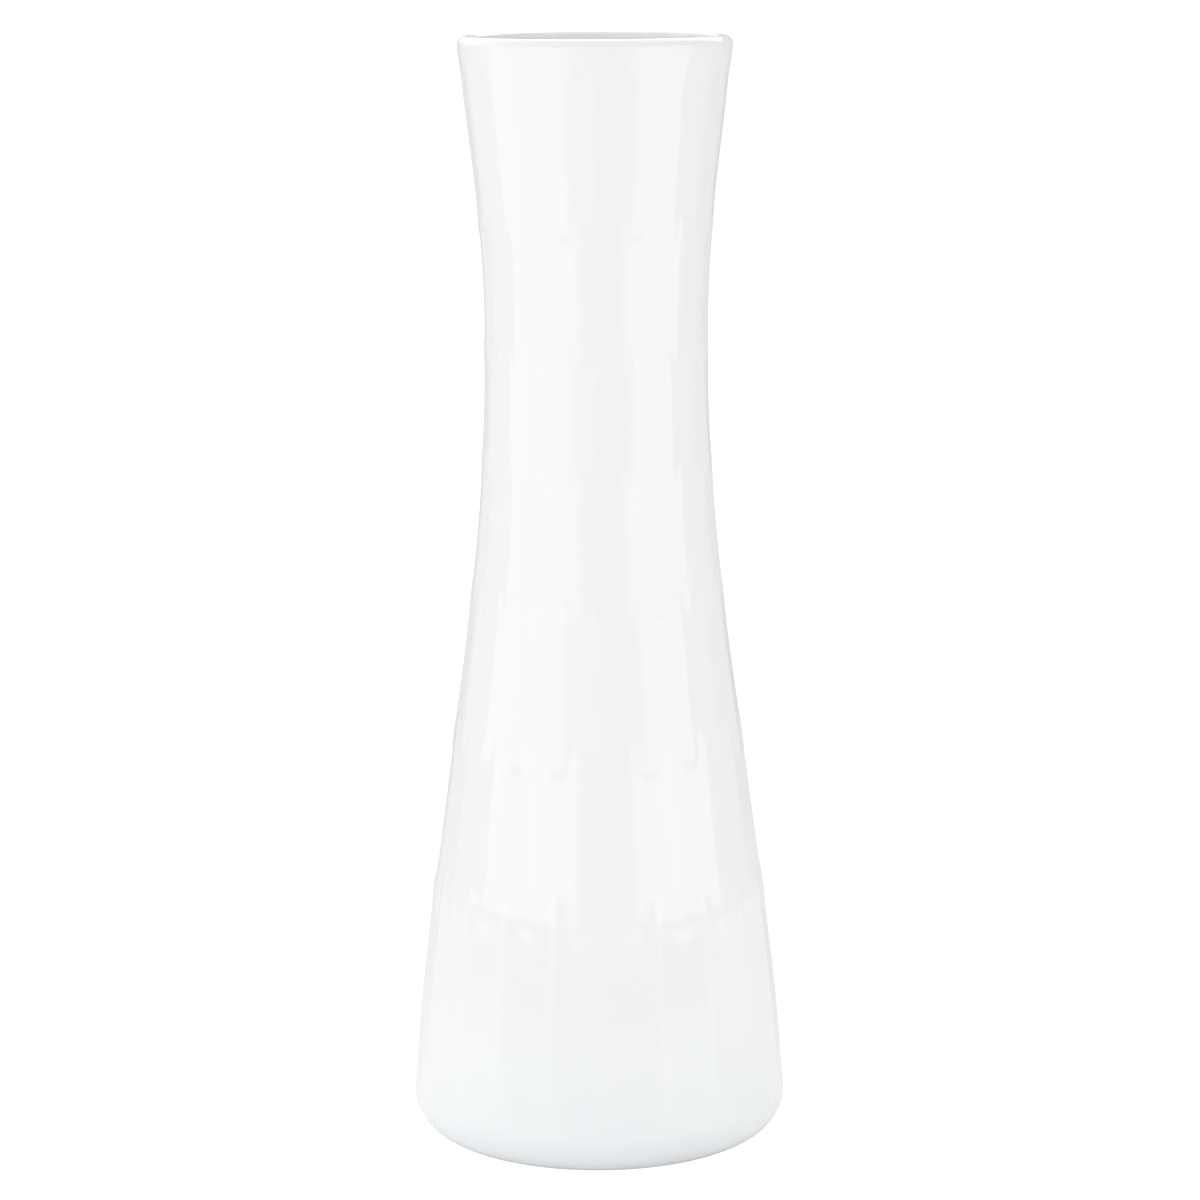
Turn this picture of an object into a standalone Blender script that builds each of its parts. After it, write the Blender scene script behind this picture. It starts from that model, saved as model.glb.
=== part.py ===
"""Tall flower vase in glazed white porcelain, cut with seven staggered tiers of shallow facets.

Run with: blender --background --python part.py

Units are metres and +Z is up. The origin is on the vase's axis, on the plane that its foot ring rests on.
One fired porcelain body carries three coats of glaze: one over the outside and the lip, one down the
inside, and one in the recess under the base. The foot ring stays bare. Each coat is its own solid.
"""

import math

import bmesh
import bpy

COLLECTION = "flower_vase"

# Overall form
HEIGHT = 0.300
# Where the turned side passes, as (height, radius), from the top of the heel to the lip.
SIDE = (
    (0.0123, 0.0510),
    (0.0360, 0.0492),
    (0.0690, 0.0452),
    (0.1120, 0.0394),
    (0.1500, 0.0344),
    (0.1860, 0.0312),
    (0.2190, 0.0302),
    (0.2505, 0.0315),
    (0.2835, 0.0351),
    (0.2973, 0.0366),
)

# Lip: an outer and an inner round that meet at the crest
LIP_RADIUS = 0.0366
LIP_OUTER_ROUND = 0.0024
LIP_INNER_ROUND = 0.0010
LIP_FLARE = math.radians(8)
LIP_INSIDE_DROP = 0.0030

# Heel: one round from the side down to the foot ring
HEEL_ROUND = 0.0110
HEEL_CENTRE = (0.0401, 0.0112)
HEEL_START = math.radians(6)
HEEL_GLAZE_END = math.radians(-75)
HEEL_BODY_END = math.radians(-84)

# Foot ring and the recess inside it
FOOT_OUTER = 0.0405
FOOT_INNER = 0.0350
FOOT_CHAMFER = 0.0005
RECESS_DEPTH = 0.0030
RECESS_RADIUS = 0.0345
RECESS_FILLET = 0.0012

# Walls, counted from the outer face of the glaze to the inner face of the glaze
WALL_AT_LIP = 0.0034
WALL_AT_BASE = 0.0046
FLOOR_THICKNESS = 0.0050
WELL_CORNER = 0.0090

# Glaze, and the modelling gap that keeps each coat a separate solid
COAT = 0.00025
GAP = 0.0003
UNDER_COAT = COAT + GAP

# Facets: flat panels around the vase, in tiers, each tier half a panel round from the next
FACETS = 20
HALF_FACET = math.pi / FACETS
TIER_EDGES = (0.0225, 0.0690, 0.1120, 0.1510, 0.1860, 0.2170, 0.2505, 0.2835)
TIER_MEET = 0.0045

# Mesh fineness: two steps a panel puts a vertex on every ridge and on every panel's middle
STEPS = 2 * FACETS
HEEL_SEGMENTS = 5
LIP_OUTER_SEGMENTS = 4
LIP_INNER_SEGMENTS = 2
WELL_CORNER_SEGMENTS = 4
MERGE_DISTANCE = 0.00001

# Colours, with roughness
PORCELAIN = ((0.86, 0.85, 0.82, 1.0), 0.55)
GLAZE = ((0.90, 0.92, 0.93, 1.0), 0.06)
INNER_GLAZE = ((0.89, 0.90, 0.90, 1.0), 0.09)


def clear_scene():
    """Remove whatever objects the open file holds."""
    for ob in list(bpy.data.objects):
        bpy.data.objects.remove(ob, do_unlink=True)


def side_slopes():
    """Slope of the side at each of its stations: the mean of the slopes to the neighbours."""
    steps = [(r1 - r0) / (z1 - z0) for (z0, r0), (z1, r1) in zip(SIDE, SIDE[1:])]
    inner = [(a + b) / 2 for a, b in zip(steps, steps[1:])]
    return [-math.tan(HEEL_START)] + inner + [math.tan(LIP_FLARE)]


SLOPES = side_slopes()


def side_radius(height):
    """Radius of the turned side at a height, along a smooth cubic between the stations."""
    height = min(max(height, SIDE[0][0]), SIDE[-1][0])
    k = max(i for i in range(len(SIDE) - 1) if SIDE[i][0] <= height)
    (z0, r0), (z1, r1) = SIDE[k], SIDE[k + 1]
    span = z1 - z0
    t = (height - z0) / span
    from_start = (1 + 2 * t) * (1 - t) ** 2 * r0 + t * (1 - t) ** 2 * span * SLOPES[k]
    from_end = t * t * (3 - 2 * t) * r1 - t * t * (1 - t) * span * SLOPES[k + 1]
    return from_start + from_end


def wall(height):
    """Full wall thickness, glaze to glaze, which grows from the lip to the base."""
    return WALL_AT_BASE + (WALL_AT_LIP - WALL_AT_BASE) * height / HEIGHT


def well_radius(height):
    """Radius of the glazed inside of the vase at a height."""
    return side_radius(height) - wall(height)


def arc(centre, radius, start, end, segments):
    """Points (radius, height) along an arc, both ends included."""
    turn = (end - start) / segments
    angles = [start + turn * i for i in range(segments + 1)]
    return [(centre[0] + radius * math.cos(a), centre[1] + radius * math.sin(a)) for a in angles]


def tier_rows():
    """Heights where a tier's panels reach their full depth, from the top tier down."""
    rows = []
    for edge in reversed(TIER_EDGES):
        rows += [edge + TIER_MEET, edge - TIER_MEET]
    return rows


def lip_line(inset):
    """The lip from just inside the mouth, over the crest, to the top of the side."""
    inner_centre = (LIP_RADIUS - WALL_AT_LIP + LIP_INNER_ROUND, HEIGHT - LIP_INNER_ROUND)
    outer_centre = (LIP_RADIUS - LIP_OUTER_ROUND, HEIGHT - LIP_OUTER_ROUND)
    inside_end = HEIGHT - LIP_INSIDE_DROP
    quarter = math.pi / 2
    line = [(well_radius(inside_end) + inset, inside_end)]
    line += arc(inner_centre, LIP_INNER_ROUND - inset, 2 * quarter, quarter, LIP_INNER_SEGMENTS)
    line += arc(outer_centre, LIP_OUTER_ROUND - inset, quarter, -LIP_FLARE, LIP_OUTER_SEGMENTS)[1:]
    return line


def side_line(inset):
    """The side from below the lip to the top of the heel."""
    return [(side_radius(z) - inset, z) for z in tier_rows()]


def heel_line(inset, end):
    """The heel's round, from the side to where this surface stops above the foot."""
    return arc(HEEL_CENTRE, HEEL_ROUND - inset, HEEL_START, end, HEEL_SEGMENTS)


def outer_line(inset, heel_end):
    """One whole outer surface, top to bottom, at a depth below the face of the glaze."""
    return lip_line(inset) + side_line(inset) + heel_line(inset, heel_end)


def well_line(inset, top):
    """The inside of the vase from the middle of its floor up to a height below the lip."""
    floor = RECESS_DEPTH + FLOOR_THICKNESS
    corner_top = floor + WELL_CORNER
    centre = (well_radius(corner_top) - WELL_CORNER, corner_top)
    down, out = -math.pi / 2, 0.0
    line = [(0.0, floor - inset)]
    line += arc(centre, WELL_CORNER + inset, down, out, WELL_CORNER_SEGMENTS)
    rows = [edge for edge in TIER_EDGES if corner_top + WELL_CORNER / 2 < edge < top]
    line += [(well_radius(z) + inset, z) for z in rows]
    line.append((well_radius(top) + inset, top))
    return line


def foot_line():
    """The bare foot ring and the recess ceiling, from the heel to the axis."""
    return [
        (FOOT_OUTER, FOOT_CHAMFER),
        (FOOT_OUTER - FOOT_CHAMFER, 0.0),
        (FOOT_INNER + FOOT_CHAMFER, 0.0),
        (FOOT_INNER, FOOT_CHAMFER),
        (RECESS_RADIUS, RECESS_DEPTH - RECESS_FILLET),
        (RECESS_RADIUS - RECESS_FILLET, RECESS_DEPTH),
        (0.0, RECESS_DEPTH),
    ]


def turned(name, line, closed):
    """Mesh of a profile turned about Z. The profile runs down the shape's outer side."""
    edges = [(i, i + 1) for i in range(len(line) - 1)]
    if closed:
        edges.append((len(line) - 1, 0))
    mesh = bpy.data.meshes.new(name + "_profile")
    mesh.from_pydata([(r, 0.0, z) for r, z in line], edges, [])
    profile = bpy.data.objects.new(name + "_profile", mesh)
    bpy.context.scene.collection.objects.link(profile)
    screw = profile.modifiers.new("turn", "SCREW")
    screw.axis = "Z"
    screw.angle = 2 * math.pi
    screw.steps = STEPS
    screw.render_steps = STEPS
    screw.use_merge_vertices = True
    screw.merge_threshold = MERGE_DISTANCE
    bpy.context.view_layer.update()
    solid = bpy.data.meshes.new_from_object(profile.evaluated_get(bpy.context.evaluated_depsgraph_get()))
    solid.name = name
    bpy.data.objects.remove(profile, do_unlink=True)
    return solid


def tier_at(height):
    """Number of the tier whose panels are at full depth at a height, or None between tiers."""
    for k, (low, high) in enumerate(zip(TIER_EDGES, TIER_EDGES[1:])):
        if low + TIER_MEET * 0.99 <= height <= high - TIER_MEET * 0.99:
            return k
    return None


def panel_cut(angle, tier):
    """Share of the radius that a flat panel takes off at an angle about the axis."""
    phase = HALF_FACET * (tier % 2)
    from_middle = (angle - phase) % (2 * HALF_FACET) - HALF_FACET
    return 1 - math.cos(HALF_FACET) / math.cos(from_middle)


def cut_facets(mesh):
    """Press the tiers' flat panels into every outer surface of a turned mesh."""
    for vertex in mesh.vertices:
        x, y, z = vertex.co
        radius = math.hypot(x, y)
        tier = tier_at(z)
        outside = radius > side_radius(z) - wall(z) / 2
        if tier is None or not outside:
            continue
        keep = 1 - panel_cut(math.atan2(y, x), tier)
        vertex.co.x = x * keep
        vertex.co.y = y * keep
    split_along_ridges(mesh)


def split_along_ridges(mesh):
    """Halve each quad along its outer diagonal, so that ridges run on unbroken between tiers."""
    shape = bmesh.new()
    shape.from_mesh(mesh)
    for face in list(shape.faces):
        if len(face.verts) != 4:
            continue
        a, b, c, d = face.verts
        reach = [math.hypot(v.co.x, v.co.y) for v in (a, b, c, d)]
        ends = (a, c) if reach[0] + reach[2] > reach[1] + reach[3] else (b, d)
        bmesh.utils.face_split(face, *ends)
    shape.to_mesh(mesh)
    shape.free()


def material(name, look):
    """Principled material from a (colour, roughness) pair."""
    colour, roughness = look
    mat = bpy.data.materials.new(name)
    mat.use_nodes = True
    shader = mat.node_tree.nodes["Principled BSDF"]
    shader.inputs["Base Color"].default_value = colour
    shader.inputs["Roughness"].default_value = roughness
    shader.inputs["Metallic"].default_value = 0.0
    mat.diffuse_color = colour
    return mat


def place(name, mesh, look, parent, collection):
    """Make one named part from a mesh, with its own material."""
    mesh.materials.clear()
    mesh.materials.append(material(name, look))
    mesh.shade_smooth()
    mesh.set_sharp_from_angle(angle=math.radians(30))
    part = bpy.data.objects.new(name, mesh)
    part.parent = parent
    collection.objects.link(part)
    return part


def porcelain_body():
    """Fired body: walls, floor, faceted side and bare foot ring."""
    inside_end = HEIGHT - LIP_INSIDE_DROP
    line = well_line(UNDER_COAT, inside_end)[:-1]
    line += outer_line(UNDER_COAT, HEEL_BODY_END)
    line += foot_line()
    mesh = turned("porcelain_body", line, closed=False)
    cut_facets(mesh)
    return mesh


def outer_glaze():
    """Coat over the lip and the whole outside, ending just above the foot ring."""
    face = outer_line(0.0, HEEL_GLAZE_END)
    back = outer_line(COAT, HEEL_GLAZE_END)
    mesh = turned("outer_glaze", face + back[::-1], closed=True)
    cut_facets(mesh)
    return mesh


def inner_glaze():
    """Coat poured into the well, over its floor and up to just inside the mouth."""
    top = HEIGHT - LIP_INSIDE_DROP - GAP
    face = well_line(0.0, top)
    back = well_line(COAT, top)
    return turned("inner_glaze", face + back[::-1], closed=False)


def base_glaze():
    """Coat on the ceiling of the recess under the base."""
    top = RECESS_DEPTH - GAP
    edge = RECESS_RADIUS - RECESS_FILLET - GAP
    line = [(0.0, top), (edge, top), (edge, top - COAT), (0.0, top - COAT)]
    return turned("base_glaze", line, closed=False)


def build():
    """Make the vase in its own collection, parented to one empty at the origin."""
    clear_scene()
    collection = bpy.data.collections.new(COLLECTION)
    bpy.context.scene.collection.children.link(collection)
    root = bpy.data.objects.new(COLLECTION + "_root", None)
    collection.objects.link(root)
    place("porcelain_body", porcelain_body(), PORCELAIN, root, collection)
    place("outer_glaze", outer_glaze(), GLAZE, root, collection)
    place("inner_glaze", inner_glaze(), INNER_GLAZE, root, collection)
    place("base_glaze", base_glaze(), GLAZE, root, collection)


build()
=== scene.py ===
"""Looks of the flower vase: glossy white glaze over faceted porcelain, on a pale floor in soft studio light.

Everything is in metres, +Z up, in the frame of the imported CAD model. The side's outline, the lip's radius
and the foot ring are read from the CAD nodes. The tiers, the rounds and the inside repeat the CAD's
dimensions, and the fine relief that the CAD leaves out is added here.
"""

import math

import bmesh
import bpy
import numpy as np
from mathutils import Matrix, Vector


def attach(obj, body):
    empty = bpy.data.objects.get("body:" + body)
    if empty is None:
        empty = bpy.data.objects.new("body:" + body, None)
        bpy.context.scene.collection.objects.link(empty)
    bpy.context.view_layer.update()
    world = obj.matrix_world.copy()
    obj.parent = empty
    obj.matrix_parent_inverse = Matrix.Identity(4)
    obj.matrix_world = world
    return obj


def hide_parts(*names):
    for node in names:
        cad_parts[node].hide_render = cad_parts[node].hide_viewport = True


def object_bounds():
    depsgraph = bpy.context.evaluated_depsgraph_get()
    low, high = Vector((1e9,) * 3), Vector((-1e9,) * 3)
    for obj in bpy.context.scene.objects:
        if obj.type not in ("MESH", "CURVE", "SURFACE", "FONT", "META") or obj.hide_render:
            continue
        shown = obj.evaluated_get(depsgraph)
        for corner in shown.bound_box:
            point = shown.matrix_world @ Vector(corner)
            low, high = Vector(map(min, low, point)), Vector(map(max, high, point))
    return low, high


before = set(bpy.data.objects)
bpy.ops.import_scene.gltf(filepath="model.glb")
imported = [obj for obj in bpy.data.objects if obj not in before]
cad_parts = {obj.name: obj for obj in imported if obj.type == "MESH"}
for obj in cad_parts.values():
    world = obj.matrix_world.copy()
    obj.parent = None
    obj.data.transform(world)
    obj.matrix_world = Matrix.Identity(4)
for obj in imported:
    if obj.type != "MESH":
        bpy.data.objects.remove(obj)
cad_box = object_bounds()

MM = 0.001

# Facets: each tier is turned half a facet from the next. Tiers and edges count from the bottom up.
FACETS = 20
HALF_FACET = math.pi / FACETS
TIER_EDGES = np.array([22.5, 69.0, 112.0, 151.0, 186.0, 217.0, 250.5, 283.5]) * MM
TIERS = len(TIER_EDGES) - 1
# At the heel and at the lip the facets fade out between two heights: gone, and at full depth
END_FADES = ((14.0 * MM, 27.0 * MM), (295.0 * MM, 288.0 * MM))

# For each tier: how much its ridges are rounded
RIDGE_ROUNDING = np.array([0.45, 0.60, 0.75, 0.85, 0.85, 0.85, 0.85]) * MM
# Rounding of a ridge that shows all of its thin glaze, and of one that shows none
SHARP_ROUNDING = 0.45 * MM
SOFT_ROUNDING = 0.65 * MM
# Rounding of the creases where two tiers meet
CREASE_ROUNDING = 0.18 * MM

# For each edge: how far a tier's panels run on past it, how far they then take to come out of the
# surface (at the two ends they fade instead), how unevenly they end, and how full the side is there
OVERLAPS = np.array([0.0, 1.5, 1.5, 1.0, 0.7, 0.7, 0.7, 0.0]) * MM
RUN_OUTS = np.array([math.inf, 5.0, 4.5, 3.2, 3.0, 3.0, 3.2, math.inf]) * MM
END_SPREADS = np.array([0.0, 1.5, 1.2, 0.9, 0.8, 0.8, 0.8, 0.0]) * MM
EDGE_SWELLS = np.array([0.06, 0.25, 0.15, 0.13, 0.13, 0.13, 0.13, 0.08]) * MM
EDGE_SWELL_WIDTH = 6.0 * MM
# How far past its own edges a tier is worked out
TIER_REACH = 2 * RUN_OUTS[1:-1].max()

# Differences from facet to facet
FACET_TURN_SPREAD = math.radians(0.30)
FACET_DEPTH_SPREAD = 0.020 * MM
SEED = 7

# Sums of waves round the vase: waves in a turn, lean, phase and size. The lean is in radians: for each
# edge in END_WAVES, for each metre of radius in THIN_GLAZE_WAVES, and for each metre of height in the
# others.
END_WAVES = ((7, 2.1, 0.0, 0.5), (11, 1.7, 1.0, 0.5))
THIN_GLAZE_WAVES = ((7, 45.0, 1.0, 0.35),)
MARK_WAVES = ((47, 0.0, 1.1, 1.0), (73, 90.0, 0.0, 1.0), (31, 0.0, 0.0, 0.6))
RIPPLE_WAVES = (
    (7, 73.92, 0.0, 0.008 * MM),
    (13, -133.685, 1.3, 0.006 * MM),
    (23, 202.683, 2.1, 0.004 * MM),
)
THIN_GLAZE_MEAN = 0.65
MARKS_DEPTH = 0.014 * MM
MARKS_REACH = 5.0 * MM

# Lip and heel
LIP_OUTER_ROUND = 2.4 * MM
LIP_INNER_ROUND = 1.0 * MM
LIP_FLARE = math.radians(8)
LIP_WALL = 3.4 * MM
LIP_INSIDE_DROP = 3.0 * MM
HEEL_ROUND = 11.0 * MM
HEEL_CENTRE_HEIGHT = 11.2 * MM
HEEL_START = math.radians(6)
HEEL_GLAZE_END = math.radians(-75)
HEEL_BODY_END = math.radians(-84)

# Inside and foot
BASE_WALL = 4.6 * MM
FLOOR = 8.0 * MM
WELL_CORNER = 9.0 * MM
RECESS_DEPTH = 3.0 * MM
RECESS_FILLET = 1.2 * MM
FOOT_EDGE_ROUND = 0.5 * MM

# Glaze thickness, how far the body lies inside the glazed faces, and the gap over the recess's coat
COAT = 0.50 * MM
BODY_INSET = 0.54 * MM
BASE_COAT_GAP = 0.04 * MM

# Mesh fineness
STEPS_PER_HALF_FACET = 10
AZIMUTHS = 2 * FACETS * STEPS_PER_HALF_FACET
RIDGE_CROWDING = 0.35
FINE_STEP = 0.55 * MM
COARSE_STEP = 1.6 * MM
FINE_REACH = 9.0 * MM
HIDDEN_OFFSETS = (-8.0 * MM, -4.0 * MM, 0.0, 4.0 * MM, 8.0 * MM)
DISC_RINGS = 8
ROLL_SEGMENTS = 6
SHARP_ANGLE = math.radians(40)
# Points and levels nearer than this count as the same
SAME_PLACE = 0.02 * MM

# Camera: distance and height are in heights of the vase, sensor and lens in millimetres, and the shift
# is in widths of the frame
VIEW_TURN = math.radians(-2.5)
CAMERA_DISTANCE = 3.417
CAMERA_HEIGHT = 1.11
CAMERA_PITCH = math.radians(10.13)
CAMERA_ROLL = math.radians(-0.26)
CAMERA_SENSOR = 36.0
CAMERA_LENS = 114.93
CAMERA_SHIFT = (0.0022, -0.0058)


# ---------------------------------------------------------------- outline, from the CAD model


def node_points(name):
    """Vertices of a CAD node as an array."""
    return np.array([v.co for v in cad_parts[name].data.vertices])


def side_stations():
    """Heights and radii of the turned side, read from the widest points of the CAD's outer coat."""
    points = node_points("outer_glaze")
    radius = np.hypot(points[:, 0], points[:, 1])
    level = np.round(points[:, 2], 5)
    heights = np.unique(level)
    widest = np.array([radius[level == z].max() for z in heights])
    top = HEIGHT - LIP_OUTER_ROUND - LIP_OUTER_ROUND * math.sin(LIP_FLARE)
    on_side = (heights > HEEL_TOP - SAME_PLACE) & (heights < top + SAME_PLACE)
    on_side &= np.abs(heights - MOUTH_Z) > SAME_PLACE
    return heights[on_side], widest[on_side]


HEIGHT = cad_box[1].z
BELLY_RADIUS = cad_box[1].x
HEEL_CENTRE = (BELLY_RADIUS - HEEL_ROUND, HEEL_CENTRE_HEIGHT)
HEEL_TOP = HEEL_CENTRE_HEIGHT + HEEL_ROUND * math.sin(HEEL_START)
MOUTH_Z = HEIGHT - LIP_INSIDE_DROP
STATION_Z, STATION_R = side_stations()
STATION_SLOPE = np.gradient(STATION_R, STATION_Z)
LIP_RADIUS = STATION_R[-1] + LIP_OUTER_ROUND * (1 - math.cos(LIP_FLARE))


def side_radius(height):
    """Radius of the turned side at heights, on a smooth cubic through the CAD's rows."""
    z = np.clip(height, STATION_Z[0], STATION_Z[-1])
    k = np.clip(np.searchsorted(STATION_Z, z, side="right") - 1, 0, len(STATION_Z) - 2)
    span = STATION_Z[k + 1] - STATION_Z[k]
    t = (z - STATION_Z[k]) / span
    value = (1 + 2 * t) * (1 - t) ** 2 * STATION_R[k] + t * t * (3 - 2 * t) * STATION_R[k + 1]
    turn = t * (1 - t) ** 2 * STATION_SLOPE[k] - t * t * (1 - t) * STATION_SLOPE[k + 1]
    return value + span * turn


def arc(centre, radius, start, end, segments):
    """Points (radius, height) along an arc, both ends included."""
    angle = np.linspace(start, end, segments + 1)
    return [(centre[0] + radius * math.cos(a), centre[1] + radius * math.sin(a)) for a in angle]


# ---------------------------------------------------------------- facets


def smooth_max(a, b, rounding):
    """Larger of two values, with the corner between them rounded off upwards."""
    return np.maximum(a, b) + np.maximum(rounding - np.abs(a - b), 0) ** 2 / (4 * rounding)


def smooth_min(a, b, rounding):
    """Smaller of two values, with the corner between them rounded off downwards."""
    return -smooth_max(-a, -b, rounding)


def waves(rows, angle, place):
    """Sum of sine waves round the vase, which lean as place grows."""
    return sum(size * np.sin(count * angle + lean * place + phase) for count, lean, phase, size in rows)


def facet_spread():
    """Small differences from facet to facet: turn and depth, for each tier."""
    rng = np.random.RandomState(SEED)
    turn = rng.uniform(-1, 1, (TIERS, FACETS)) * FACET_TURN_SPREAD
    depth = rng.uniform(-1, 1, (TIERS, FACETS)) * FACET_DEPTH_SPREAD
    return turn, depth


FACET_TURN, FACET_DEPTH = facet_spread()


def tier_depth(tier, angle, radius):
    """How far a tier's panels lie inside the turned side, and how thin the glaze is, from 0 to 1."""
    phase = HALF_FACET * (1 - tier % 2)
    nearest = np.round((angle - phase) / (2 * HALF_FACET)).astype(int)
    # Depth of the panel at each point, between those of its two neighbours
    cuts = []
    for step in (-1, 0, 1):
        panel = nearest + step
        turn = FACET_TURN[tier][panel % FACETS]
        extra = FACET_DEPTH[tier][panel % FACETS]
        away = angle - phase - panel * 2 * HALF_FACET - turn
        cuts.append(radius - (radius * math.cos(HALF_FACET) - extra) / np.cos(away))
    side_cut = np.maximum(cuts[0], cuts[2])
    rounding = RIDGE_ROUNDING[tier]
    depth = smooth_max(cuts[1], side_cut, rounding)
    closeness = np.maximum(rounding - np.abs(cuts[1] - side_cut), 0) / rounding
    sharpness = np.clip((SOFT_ROUNDING - rounding) / (SOFT_ROUNDING - SHARP_ROUNDING), 0, 1)
    worn = THIN_GLAZE_MEAN + waves(THIN_GLAZE_WAVES, angle, radius)
    return depth, sharpness * closeness * worn


def end_shift(edge, angle):
    """How unevenly a tier's panels end along one edge."""
    return END_SPREADS[edge] * waves(END_WAVES, angle, edge)


def run_out(tier, angle, height, full_depth):
    """How far a tier's panels have come out of the surface past the tier's two edges."""
    low = tier
    high = tier + 1
    below = TIER_EDGES[low] - OVERLAPS[low] - height - end_shift(low, angle)
    above = height - TIER_EDGES[high] - OVERLAPS[high] - end_shift(high, angle)
    past = np.maximum(below, 0) / RUN_OUTS[low] + np.maximum(above, 0) / RUN_OUTS[high]
    return full_depth * past**2


def end_fade(height):
    """How much of the facets' depth is left near the heel and the lip, from 0 to 1."""
    left = np.ones_like(height)
    for gone, full in END_FADES:
        t = np.clip((height - gone) / (full - gone), 0, 1)
        left *= t * t * (3 - 2 * t)
    return left


def relief(angle, height, radius):
    """Depth of the facets below the turned side, and how thin the glaze is on their ridges."""
    full = radius * (1 - math.cos(HALF_FACET))
    depth = np.full_like(height, np.inf)
    thin = np.zeros_like(height)
    for tier in range(TIERS):
        start = TIER_EDGES[tier] if tier > 0 else 0.0
        end = TIER_EDGES[tier + 1] if tier < TIERS - 1 else HEIGHT
        near = (height > start - TIER_REACH) & (height < end + TIER_REACH)
        own, own_thin = tier_depth(tier, angle[near], radius[near])
        own = own + run_out(tier, angle[near], height[near], full[near])
        before = depth[near]
        thin[near] = np.where(own < before, own_thin, thin[near])
        depth[near] = np.where(np.isinf(before), own, smooth_min(own, before, CREASE_ROUNDING))
    left = end_fade(height)
    return depth * left, thin * left


def swell(height):
    """Slight fullness of the side at the edges of the tiers."""
    total = np.zeros_like(height)
    for edge, fullness in zip(TIER_EDGES, EDGE_SWELLS):
        total += fullness * np.exp(-(((height - edge) / EDGE_SWELL_WIDTH) ** 2))
    return total


def tool_marks(angle, height):
    """Fine upright marks where the panels of two tiers were blended by hand."""
    near = np.zeros_like(height)
    for edge in TIER_EDGES[1:]:
        near += np.exp(-(((height - edge) / MARKS_REACH) ** 2))
    return MARKS_DEPTH * near * waves(MARK_WAVES, angle, height)


def ripple(angle, height):
    """Very low, slow waves that a thick glaze keeps after firing."""
    return waves(RIPPLE_WAVES, angle, height)


# ---------------------------------------------------------------- meshes


def azimuths():
    """Angles round the vase, closer together at the ridges."""
    share = np.arange(AZIMUTHS) / STEPS_PER_HALF_FACET
    crowded = share - RIDGE_CROWDING * np.sin(2 * math.pi * share) / (2 * math.pi)
    return crowded * HALF_FACET


ANGLES = azimuths()


def fine_rows():
    """Heights down the side below the lip, close together where tiers meet."""
    rows = []
    z = STATION_Z[-1]
    while z > STATION_Z[0]:
        rows.append(z)
        z -= FINE_STEP if np.abs(TIER_EDGES - z).min() < FINE_REACH else COARSE_STEP
    return rows[1:]


def hidden_rows():
    """Heights down the side for surfaces that stay hidden."""
    rows = [edge + offset for edge in TIER_EDGES for offset in HIDDEN_OFFSETS]
    inside = [z for z in rows if STATION_Z[0] + MM < z < STATION_Z[-1] - MM]
    return sorted(inside, reverse=True)


def wall(height):
    """Wall thickness, glaze to glaze: it grows from the lip to the base."""
    return BASE_WALL + (LIP_WALL - BASE_WALL) * height / HEIGHT


def well_radius(height):
    """Radius of the glazed inside."""
    return float(side_radius(height)) - wall(height)


def lip_line(inset, fineness):
    """The lip from just inside the mouth, over its crest, to the top of the side."""
    inner_centre = (LIP_RADIUS - LIP_WALL + LIP_INNER_ROUND, HEIGHT - LIP_INNER_ROUND)
    outer_centre = (LIP_RADIUS - LIP_OUTER_ROUND, HEIGHT - LIP_OUTER_ROUND)
    quarter = math.pi / 2
    inner = arc(inner_centre, LIP_INNER_ROUND - inset, 2 * quarter, quarter, 2 * fineness)
    outer = arc(outer_centre, LIP_OUTER_ROUND - inset, quarter, -LIP_FLARE, 4 * fineness)
    mouth = [(well_radius(z) + inset, z) for z in np.linspace(MOUTH_Z, inner[0][1], fineness + 1)[:-1]]
    return mouth + inner + outer[1:]


def outer_line(inset, rows, fineness, heel_end):
    """One whole outer surface from inside the mouth to the end of the heel."""
    line = lip_line(inset, fineness)
    line += [(float(side_radius(z)) - inset, z, True) for z in rows]
    line += arc(HEEL_CENTRE, HEEL_ROUND - inset, HEEL_START, heel_end, 8 * fineness)
    return line


def well_line(inset, fineness):
    """The inside, from the middle of the floor up to the mouth."""
    corner_top = FLOOR + WELL_CORNER
    centre = (well_radius(corner_top) - WELL_CORNER, corner_top)
    line = [(centre[0] * t, FLOOR - inset) for t in np.linspace(0, 1, 2 * fineness + 1)[:-1]]
    line += arc(centre, WELL_CORNER + inset, -math.pi / 2, 0, 4 * fineness)
    rows = np.linspace(corner_top, MOUTH_Z, 30 * fineness + 1)[1:]
    line += [(well_radius(z) + inset, z) for z in rows]
    return line


def foot_line():
    """The bare foot ring and the recess ceiling, from the heel to the axis."""
    points = node_points("porcelain_body")
    standing = np.hypot(points[:, 0], points[:, 1])[points[:, 2] < SAME_PLACE]
    outer = (standing.max(), FOOT_EDGE_ROUND)
    inner = (standing.min(), FOOT_EDGE_ROUND)
    fillet_centre = (inner[0] - FOOT_EDGE_ROUND - RECESS_FILLET, RECESS_DEPTH - RECESS_FILLET)
    line = arc(outer, FOOT_EDGE_ROUND, 0, -math.pi / 2, 4)
    line += arc(inner, FOOT_EDGE_ROUND, -math.pi / 2, -math.pi, 4)
    line += arc(fillet_centre, RECESS_FILLET, 0, math.pi / 2, 5)
    line += [(r, RECESS_DEPTH) for r in np.linspace(fillet_centre[0], 0, 6)[1:]]
    return line


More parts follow.
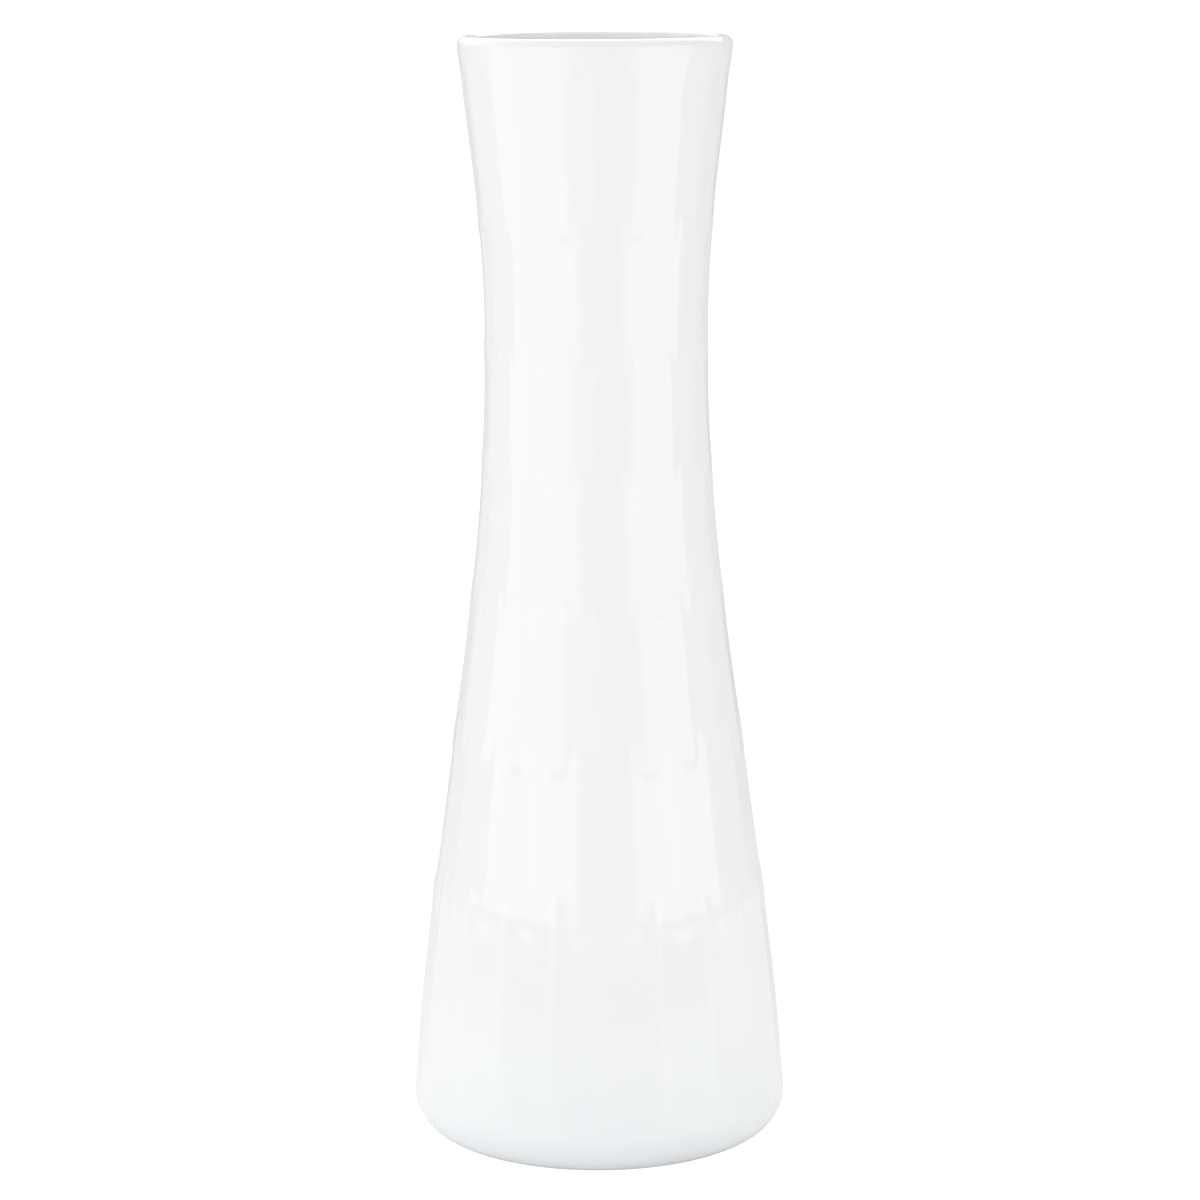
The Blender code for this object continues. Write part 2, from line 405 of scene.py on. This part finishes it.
def turned_points(line, detail):
    """Points of a line turned about Z with the facets pressed in, and how thin the glaze is on each.

    Each point of the line is (radius, height), or (radius, height, True) where the facets reach it.
    """
    radius = np.array([p[0] for p in line])
    height = np.array([p[1] for p in line])
    faceted = np.array([len(p) > 2 for p in line])[:, None]
    angle = np.tile(ANGLES, (len(line), 1))
    z = np.repeat(height[:, None], AZIMUTHS, 1)
    r = np.repeat(radius[:, None], AZIMUTHS, 1)
    depth, thin = relief(angle, z, side_radius(z))
    change = swell(z) - depth
    if detail:
        change = change + tool_marks(angle, z) + ripple(angle, z)
    r = r + np.where(faceted, change, 0)
    points = np.stack([r * np.cos(angle), r * np.sin(angle), z], -1)
    return points.reshape(-1, 3), np.where(faceted, thin, 0).ravel()


def turned_faces(rows, closed):
    """Faces between the turned points of a line, which may be closed into a loop."""
    row = np.arange(rows if closed else rows - 1)[:, None] * AZIMUTHS
    below = (row + AZIMUTHS) % (rows * AZIMUTHS)
    turn = np.arange(AZIMUTHS)[None, :]
    beside = (turn + 1) % AZIMUTHS
    corners = [row + turn, below + turn, below + beside, row + beside]
    return np.stack(corners, -1).reshape(-1, 4)


def lathe(name, line, closed, detail):
    """Mesh of a line turned about Z.

    The line runs down the outer side. An open one starts and ends on the axis.
    """
    points, thin = turned_points(line, detail)
    mesh = bpy.data.meshes.new(name)
    mesh.from_pydata(points.tolist(), [], turned_faces(len(line), closed).tolist())
    thinness = mesh.attributes.new("thin_glaze", "FLOAT", "POINT")
    thinness.data.foreach_set("value", thin.astype(np.float32))
    piece = bpy.data.objects.new(name, mesh)
    bpy.context.scene.collection.objects.link(piece)
    return piece


def close_poles(piece):
    """Merge the rings of points that lie on the axis."""
    shape = bmesh.new()
    shape.from_mesh(piece.data)
    on_axis = [v for v in shape.verts if math.hypot(v.co.x, v.co.y) < SAME_PLACE]
    bmesh.ops.remove_doubles(shape, verts=on_axis, dist=SAME_PLACE)
    shape.to_mesh(piece.data)
    shape.free()


def finish_piece(piece, material, cad_node):
    """Shade a piece, give it its material and tie it to the frame."""
    piece.data.shade_smooth()
    piece.data.set_sharp_from_angle(angle=SHARP_ANGLE)
    piece.data.materials.append(material)
    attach(piece, "root")
    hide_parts(cad_node)


# ---------------------------------------------------------------- pieces


def outer_coat(material):
    """Glaze over the lip and the whole outside, with a rolled edge above the foot ring."""
    face = outer_line(0.0, fine_rows(), 4, HEEL_GLAZE_END)
    back = outer_line(COAT, hidden_rows(), 2, HEEL_GLAZE_END)
    middle = HEEL_ROUND - COAT / 2
    roll_centre = (
        HEEL_CENTRE[0] + middle * math.cos(HEEL_GLAZE_END),
        HEEL_CENTRE[1] + middle * math.sin(HEEL_GLAZE_END),
    )
    roll = arc(roll_centre, COAT / 2, HEEL_GLAZE_END, HEEL_GLAZE_END - math.pi, ROLL_SEGMENTS)
    piece = lathe("glazed_outside", face + roll[1:-1] + back[::-1], True, True)
    finish_piece(piece, material, "outer_glaze")


def inner_coat(material):
    """Glaze poured into the well, from its floor to the mouth."""
    face = well_line(0.0, 3)
    back = well_line(COAT, 1)
    piece = lathe("glazed_well", face + back[::-1], False, False)
    close_poles(piece)
    finish_piece(piece, material, "inner_glaze")


def base_coat(material):
    """Glaze pooled on the ceiling of the recess under the base."""
    points = node_points("base_glaze")
    edge = np.hypot(points[:, 0], points[:, 1]).max()
    rings = np.linspace(0, edge, DISC_RINGS + 1)
    top = RECESS_DEPTH - BASE_COAT_GAP
    low = RECESS_DEPTH - COAT
    roll = arc((edge, (top + low) / 2), (top - low) / 2, math.pi / 2, -math.pi / 2, ROLL_SEGMENTS)
    line = [(r, top) for r in rings[:-1]] + roll + [(r, low) for r in rings[-2::-1]]
    piece = lathe("glazed_base", line, False, False)
    close_poles(piece)
    finish_piece(piece, material, "base_glaze")


def body(material):
    """Fired porcelain: it shows only at the foot ring."""
    line = well_line(BODY_INSET, 1)[:-1]
    line += outer_line(BODY_INSET, hidden_rows(), 2, HEEL_BODY_END)
    line += foot_line()
    piece = lathe("bare_porcelain", line, False, False)
    close_poles(piece)
    finish_piece(piece, material, "porcelain_body")


# ---------------------------------------------------------------- materials

# Colours of the glaze: plain, in faint clouds, pooled near the foot, and thin on sharp ridges
GLAZE_COLOUR = (0.823, 0.833, 0.852, 1.0)
GLAZE_CLOUD = (0.830, 0.838, 0.853, 1.0)
GLAZE_POOLED = (0.815, 0.836, 0.850, 1.0)
GLAZE_THIN = (0.880, 0.887, 0.898, 1.0)
# The well's glaze, plain and in faint clouds, is painted lighter than the outside's: painted light that
# stands in for light shining through the thin porcelain wall into the well
WELL_PAINTED_LIGHT_COLOUR = (0.925, 0.928, 0.935, 1.0)
WELL_PAINTED_LIGHT_CLOUD = (0.930, 0.932, 0.937, 1.0)
POOL_TOP = 75.0 * MM
THIN_GLAZE_SHARE = 0.7
GLAZE_IOR = 1.5
GLAZE_BUMP = {"Strength": 0.05, "Distance": 0.2 * MM}

# Colours of the bare porcelain: clean, and rubbed on a shelf
BISQUE_COLOUR = (0.74, 0.72, 0.67, 1.0)
BISQUE_RUBBED = (0.60, 0.57, 0.52, 1.0)
BISQUE_BUMP = {"Strength": 0.35, "Distance": 0.1 * MM}

# Ranges that a noise from 0 to 1 is mapped on to
CLOUD_SPREAD = (0.2, 0.8)
GLAZE_ROUGHNESS = (0.035, 0.075)
RUBBED_SPREAD = (-0.4, 1.0)
BISQUE_ROUGHNESS = (0.55, 0.80)

# Noise textures: scale per metre, and detail
CLOUD_NOISE = {"Scale": 26.0, "Detail": 3.0}
GLOSS_NOISE = {"Scale": 60.0, "Detail": 4.0}
WAVE_NOISE = {"Scale": 110.0, "Detail": 2.0}
RUBBED_NOISE = {"Scale": 180.0, "Detail": 6.0}
GRAIN_NOISE = {"Scale": 2600.0, "Detail": 3.0}


def new_material(name):
    """A new Principled material, with its node tree and its shader."""
    material = bpy.data.materials.new(name)
    material.use_nodes = True
    tree = material.node_tree
    return material, tree, tree.nodes["Principled BSDF"]


def node(tree, kind, **inputs):
    """Add a shader node and set its inputs by name."""
    made = tree.nodes.new(kind)
    for key, value in inputs.items():
        made.inputs[key.replace("_", " ")].default_value = value
    return made


def blend_colour(tree, factor, low, high):
    """Colour mix of two colours or sockets by a factor socket."""
    mix = tree.nodes.new("ShaderNodeMix")
    mix.data_type = "RGBA"
    colour_inputs = [socket for socket in mix.inputs if socket.type == "RGBA"]
    colour_output = next(socket for socket in mix.outputs if socket.type == "RGBA")
    tree.links.new(factor, mix.inputs["Factor"])
    for socket, value in zip(colour_inputs, (low, high)):
        if isinstance(value, tuple):
            socket.default_value = value
        else:
            tree.links.new(value, socket)
    return colour_output


def scaled(tree, socket, low, high):
    """Map a 0 to 1 socket on to a range."""
    ramp = node(tree, "ShaderNodeMapRange", To_Min=low, To_Max=high)
    tree.links.new(socket, ramp.inputs["Value"])
    return ramp.outputs["Result"]


def noise(tree, coords, settings):
    """A noise texture's value."""
    made = node(tree, "ShaderNodeTexNoise", **settings)
    tree.links.new(coords, made.inputs["Vector"])
    return made.outputs["Fac"]


def bump(tree, shader, height, settings):
    """Give a material's surface a fine relief from a height socket."""
    made = node(tree, "ShaderNodeBump", **settings)
    tree.links.new(height, made.inputs["Height"])
    tree.links.new(made.outputs["Normal"], shader.inputs["Normal"])


def thin_glaze(tree):
    """How much of the thin glaze's colour shows at each point."""
    made = tree.nodes.new("ShaderNodeAttribute")
    made.attribute_name = "thin_glaze"
    return scaled(tree, made.outputs["Fac"], 0.0, THIN_GLAZE_SHARE)


def pooled_glaze(tree, coords):
    """How much of the pooled glaze's colour shows: all of it at the foot, and none above POOL_TOP."""
    parts = tree.nodes.new("ShaderNodeSeparateXYZ")
    tree.links.new(coords, parts.inputs["Vector"])
    share = node(tree, "ShaderNodeMapRange", From_Min=POOL_TOP, From_Max=0.0)
    tree.links.new(parts.outputs["Z"], share.inputs["Value"])
    return share.outputs["Result"]


def glaze(name, colour, cloud_colour):
    """Clear glossy glaze on white porcelain, faintly clouded, thin on sharp ridges, pooled at the foot."""
    material, tree, shader = new_material(name)
    coords = tree.nodes.new("ShaderNodeTexCoord").outputs["Object"]
    cloud = scaled(tree, noise(tree, coords, CLOUD_NOISE), *CLOUD_SPREAD)
    clouded = blend_colour(tree, cloud, colour, cloud_colour)
    thinned = blend_colour(tree, thin_glaze(tree), clouded, GLAZE_THIN)
    pooled = blend_colour(tree, pooled_glaze(tree, coords), thinned, GLAZE_POOLED)
    tree.links.new(pooled, shader.inputs["Base Color"])
    gloss = scaled(tree, noise(tree, coords, GLOSS_NOISE), *GLAZE_ROUGHNESS)
    tree.links.new(gloss, shader.inputs["Roughness"])
    shader.inputs["IOR"].default_value = GLAZE_IOR
    bump(tree, shader, noise(tree, coords, WAVE_NOISE), GLAZE_BUMP)
    return material


def bisque(name):
    """Unglazed porcelain: matte, fine-grained, greyer where it rubs on a shelf."""
    material, tree, shader = new_material(name)
    coords = tree.nodes.new("ShaderNodeTexCoord").outputs["Object"]
    rubbed = noise(tree, coords, RUBBED_NOISE)
    colour = blend_colour(tree, scaled(tree, rubbed, *RUBBED_SPREAD), BISQUE_COLOUR, BISQUE_RUBBED)
    tree.links.new(colour, shader.inputs["Base Color"])
    tree.links.new(scaled(tree, rubbed, *BISQUE_ROUGHNESS), shader.inputs["Roughness"])
    bump(tree, shader, noise(tree, coords, GRAIN_NOISE), BISQUE_BUMP)
    return material


# ---------------------------------------------------------------- stage, light and camera

WHITE = (1.0, 1.0, 1.0, 1.0)
FLOOR_SIZE = 60.0
FLOOR_COLOUR = (0.35, 0.35, 0.35, 1.0)
FLOOR_ROUGHNESS = 0.9
FLOOR_GLOW = 0.88
TABLE_RADIUS = 0.55
TABLE_SIDES = 96
TABLE_COLOUR = (0.80, 0.80, 0.80, 1.0)
TABLE_ROUGHNESS = 0.15
SKY_LIGHT = 0.62

# Soft light panels round the vase: name, from and to (degrees right of the camera), bottom and top
# (metres above the floor) and radiance
PANELS = (
    ("left_key_rear", -94.0, -58.0, 0.05, 0.50, 0.91),
    ("left_key_front", -58.0, -28.0, 0.05, 0.50, 1.15),
    ("left_key_edge", -28.0, -18.0, 0.05, 0.50, 0.80),
    ("left_spill", -18.0, -6.0, 0.05, 0.50, 0.32),
    ("right_key_edge", 27.0, 36.0, 0.05, 0.50, 0.58),
    ("right_key_front", 36.0, 59.0, 0.05, 0.50, 1.20),
    ("right_key_rear", 59.0, 86.0, 0.05, 0.50, 1.10),
    ("right_spill", 86.0, 104.0, 0.05, 0.50, 0.10),
    ("left_rear_high", -170.0, -94.0, 0.36, 0.90, 0.78),
    ("left_high", -94.0, -24.0, 0.50, 0.90, 0.27),
    ("front_high", -24.0, 32.0, 0.36, 0.90, 0.10),
    ("rear_high", 135.0, 195.0, 0.50, 1.00, 2.80),
)
PANEL_DISTANCE = 0.62
OVERHEAD_SIZE = 1.0
OVERHEAD_HEIGHT = 1.0
OVERHEAD_RADIANCE = 0.50

# Glow of the light table: direction (degrees right of the camera), reach (metres) and strength. It
# fades in from the axis over GLOW_FADE_IN.
TABLE_GLOWS = (
    (-60.0, 0.34, 0.42),
    (60.0, 10.0, 0.32),
)
GLOW_FADE_IN = 0.065


def toward(azimuth_deg):
    """Unit vector from the axis, at an angle to the right of the camera as the camera sees it."""
    angle = VIEW_TURN + math.radians(azimuth_deg)
    return Vector((math.sin(angle), -math.cos(angle), 0.0))


def flat_piece(name, corners, material):
    """A flat stage object with one face."""
    mesh = bpy.data.meshes.new(name)
    mesh.from_pydata(corners, [], [tuple(range(len(corners)))])
    mesh.materials.append(material)
    ob = bpy.data.objects.new(name, mesh)
    bpy.context.scene.collection.objects.link(ob)
    return ob


def floor():
    """Plain pale floor that the camera sees, lit from within. It neither lights nor shades the vase."""
    material, _, shader = new_material("floor_paint")
    shader.inputs["Base Color"].default_value = FLOOR_COLOUR
    shader.inputs["Roughness"].default_value = FLOOR_ROUGHNESS
    shader.inputs["Specular IOR Level"].default_value = 0.0
    shader.inputs["Emission Color"].default_value = WHITE
    shader.inputs["Emission Strength"].default_value = FLOOR_GLOW
    half = FLOOR_SIZE / 2
    corners = [(-half, -half, 0), (half, -half, 0), (half, half, 0), (-half, half, 0)]
    ob = flat_piece("floor", corners, material)
    ob.visible_diffuse = False
    ob.visible_glossy = False
    ob.visible_shadow = False


def maths(tree, operation, *values):
    """A maths node on sockets or numbers."""
    made = tree.nodes.new("ShaderNodeMath")
    made.operation = operation
    for slot, value in zip(made.inputs, values):
        if isinstance(value, (int, float)):
            slot.default_value = value
        else:
            tree.links.new(value, slot)
    return made.outputs[0]


def falloff(tree, squared, reach):
    """Gaussian of a squared distance: 1 at the axis, and fading over the reach."""
    return maths(tree, "EXPONENT", maths(tree, "MULTIPLY", squared, -1.0 / reach**2))


def glow(tree, x, y, direction, reach, strength):
    """Table glow that is strongest towards one side, and weak close to the foot and far away."""
    squared = maths(tree, "ADD", maths(tree, "MULTIPLY", x, x), maths(tree, "MULTIPLY", y, y))
    side = toward(direction)
    across = maths(tree, "ADD", maths(tree, "MULTIPLY", x, side.x), maths(tree, "MULTIPLY", y, side.y))
    facing = maths(tree, "DIVIDE", across, maths(tree, "SQRT", squared))
    lit = maths(tree, "MULTIPLY", maths(tree, "MAXIMUM", facing, 0.0), falloff(tree, squared, reach))
    away = maths(tree, "SUBTRACT", 1.0, falloff(tree, squared, GLOW_FADE_IN))
    return maths(tree, "MULTIPLY", maths(tree, "MULTIPLY", lit, away), strength)


def light_table():
    """Glossy light table under the vase: it is seen only in reflections and as light from below."""
    material, tree, shader = new_material("light_table")
    shader.inputs["Base Color"].default_value = TABLE_COLOUR
    shader.inputs["Roughness"].default_value = TABLE_ROUGHNESS
    shader.inputs["Emission Color"].default_value = WHITE
    place = tree.nodes.new("ShaderNodeNewGeometry").outputs["Position"]
    parts = tree.nodes.new("ShaderNodeSeparateXYZ")
    tree.links.new(place, parts.inputs["Vector"])
    total = 0.0
    for direction, reach, strength in TABLE_GLOWS:
        part = glow(tree, parts.outputs["X"], parts.outputs["Y"], direction, reach, strength)
        total = maths(tree, "ADD", total, part)
    tree.links.new(total, shader.inputs["Emission Strength"])
    turn = np.linspace(0, 2 * math.pi, TABLE_SIDES, endpoint=False)
    rim = [(TABLE_RADIUS * math.cos(a), TABLE_RADIUS * math.sin(a), 0.0) for a in turn]
    ob = flat_piece("light_table", rim, material)
    ob.visible_camera = False


def sky():
    """Even, dim surroundings that the camera sees as white."""
    world = bpy.data.worlds.new("studio")
    world.use_nodes = True
    tree = world.node_tree
    background = tree.nodes["Background"]
    background.inputs["Color"].default_value = WHITE
    seen = tree.nodes.new("ShaderNodeLightPath").outputs["Is Camera Ray"]
    tree.links.new(scaled(tree, seen, SKY_LIGHT, 1.0), background.inputs["Strength"])
    bpy.context.scene.world = world


def area_light(name, size, location, direction, radiance):
    """Soft rectangular light that the camera doesn't see."""
    width, height = size
    lamp = bpy.data.lights.new(name, "AREA")
    lamp.shape = "RECTANGLE"
    lamp.size = width
    lamp.size_y = height
    lamp.energy = radiance * math.pi * width * height
    ob = bpy.data.objects.new(name, lamp)
    ob.location = location
    ob.rotation_euler = direction.to_track_quat("-Z", "Y").to_euler()
    ob.visible_camera = False
    bpy.context.scene.collection.objects.link(ob)


def panels():
    """The upright panels and the one overhead."""
    for name, start, end, bottom, top, radiance in PANELS:
        left = toward(start) * PANEL_DISTANCE
        right = toward(end) * PANEL_DISTANCE
        middle = (left + right) / 2
        size = ((right - left).length, top - bottom)
        place = middle + Vector((0, 0, (bottom + top) / 2))
        area_light(name, size, place, -middle, radiance)
    size = (OVERHEAD_SIZE, OVERHEAD_SIZE)
    place = Vector((0, 0, OVERHEAD_HEIGHT))
    area_light("overhead", size, place, Vector((0, 0, -1)), OVERHEAD_RADIANCE)


def camera():
    """Camera a little above the level of the lip, looking slightly down."""
    data = bpy.data.cameras.new("camera")
    data.sensor_width = CAMERA_SENSOR
    data.lens = CAMERA_LENS
    data.shift_x, data.shift_y = CAMERA_SHIFT
    ob = bpy.data.objects.new("camera", data)
    bpy.context.scene.collection.objects.link(ob)
    ob.location = toward(0.0) * CAMERA_DISTANCE * HEIGHT + Vector((0, 0, CAMERA_HEIGHT * HEIGHT))
    level = Matrix.Rotation(VIEW_TURN, 4, "Z") @ Matrix.Rotation(math.pi / 2 - CAMERA_PITCH, 4, "X")
    ob.rotation_euler = (level @ Matrix.Rotation(CAMERA_ROLL, 4, "Z")).to_euler()
    bpy.context.scene.camera = ob


def colour_management():
    """Plain display transform, so that white stays clean."""
    view = bpy.context.scene.view_settings
    view.view_transform = "Standard"
    view.look = "None"
    view.exposure = 0.0
    view.gamma = 1.0


outside_glaze = glaze("white_glaze", GLAZE_COLOUR, GLAZE_CLOUD)
outer_coat(outside_glaze)
# The well's glaze carries painted light: it is lighter than the outside's, for light shining through the
# thin wall
inner_coat(glaze("well_glaze_painted_light", WELL_PAINTED_LIGHT_COLOUR, WELL_PAINTED_LIGHT_CLOUD))
base_coat(outside_glaze)
body(bisque("bare_bisque"))
floor()
light_table()
sky()
panels()
camera()
colour_management()
